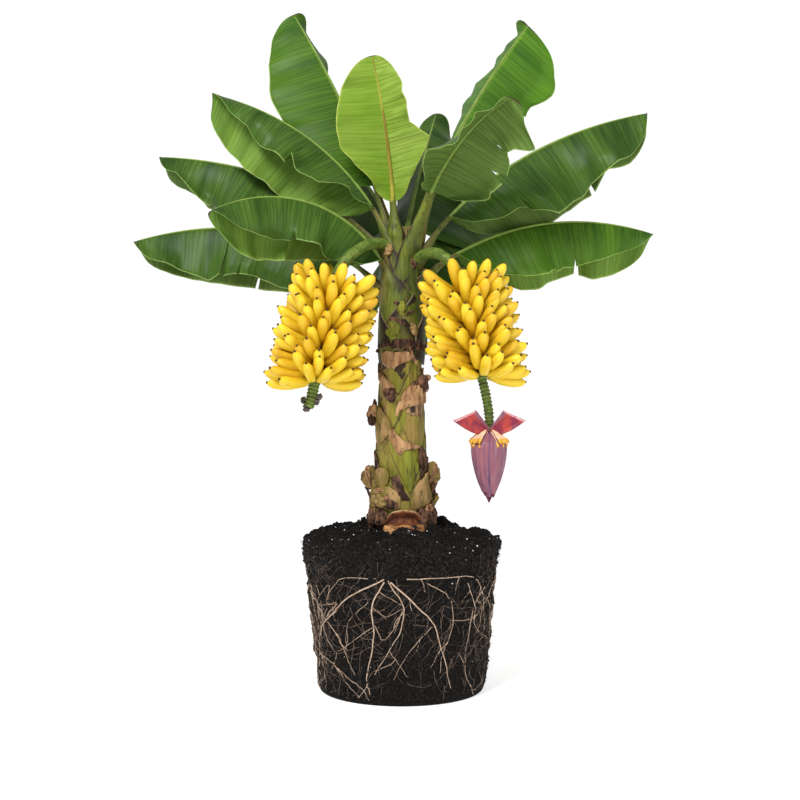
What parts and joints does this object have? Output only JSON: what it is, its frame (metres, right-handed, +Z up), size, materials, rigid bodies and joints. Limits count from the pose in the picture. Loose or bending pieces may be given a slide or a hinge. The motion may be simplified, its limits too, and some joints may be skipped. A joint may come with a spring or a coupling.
{
  "type": "banana plant",
  "caption": "Dwarf banana plant on a bare root ball: thick stem with dry sheaths, a crown of broad leaves, hanging bunches of ripe fruit and a purple flower bud.",
  "frame": {"origin": "centre of the flat underside of the root ball, under the axis of the stem", "axes": "+Z up along the stem, +X to the right of the plant's front, +Y to its back"},
  "size_m": [1.6902, 1.0653, 2.21],
  "materials": {
    "peat": "damp black peat with white grit and pale roots",
    "stem": "olive green ribbed sheaths with brown patches",
    "dry_sheath": "dry papery tan and brown",
    "petiole": "smooth yellow green",
    "leaf": "satin green with fine side veins and a pale midrib",
    "stalk": "green with dark scars",
    "fruit": "smooth ripe yellow with dark tips",
    "bract": "satin mauve red",
    "male_flower": "waxy cream with yellow tips"
  },
  "bodies": {
    "root": {"blade_back_left": "leaf", "blade_back_low": "leaf", "blade_back_right": "leaf", "blade_back_small": "leaf", "blade_centre": "leaf", "blade_left_front": "leaf", "blade_left_high": "leaf", "blade_left_low": "leaf", "blade_left_middle": "leaf", "blade_left_upright": "leaf", "blade_right_front": "leaf", "blade_right_high": "leaf", "blade_right_low": "leaf", "blade_right_upright": "leaf", "bract_left": "bract", "bract_right": "bract", "flower_bud": "bract", "fruit_stalk_left": "stalk", "fruit_stalk_right": "stalk", "male_flowers": "male_flower", "petiole_back_left": "petiole", "petiole_back_low": "petiole", "petiole_back_right": "petiole", "petiole_back_small": "petiole", "petiole_centre": "petiole", "petiole_left_front": "petiole", "petiole_left_high": "petiole", "petiole_left_low": "petiole", "petiole_left_middle": "petiole", "petiole_left_upright": "petiole", "petiole_right_front": "petiole", "petiole_right_high": "petiole", "petiole_right_low": "petiole", "petiole_right_upright": "petiole", "root_ball": "peat", "sheath_foot_back": "dry_sheath", "sheath_foot_front": "dry_sheath", "sheath_foot_left": "dry_sheath", "sheath_foot_right": "dry_sheath", "sheath_middle_left": "dry_sheath", "sheath_middle_right": "dry_sheath", "sheath_upper_back": "dry_sheath", "sheath_upper_front": "dry_sheath", "stem": "stem", "tier_left_1": "fruit", "tier_left_2": "fruit", "tier_left_3": "fruit", "tier_left_4": "fruit", "tier_left_5": "fruit", "tier_left_6": "fruit", "tier_right_1": "fruit", "tier_right_2": "fruit", "tier_right_3": "fruit", "tier_right_4": "fruit", "tier_right_5": "fruit", "tier_right_6": "fruit"}
  },
  "joints": []
}
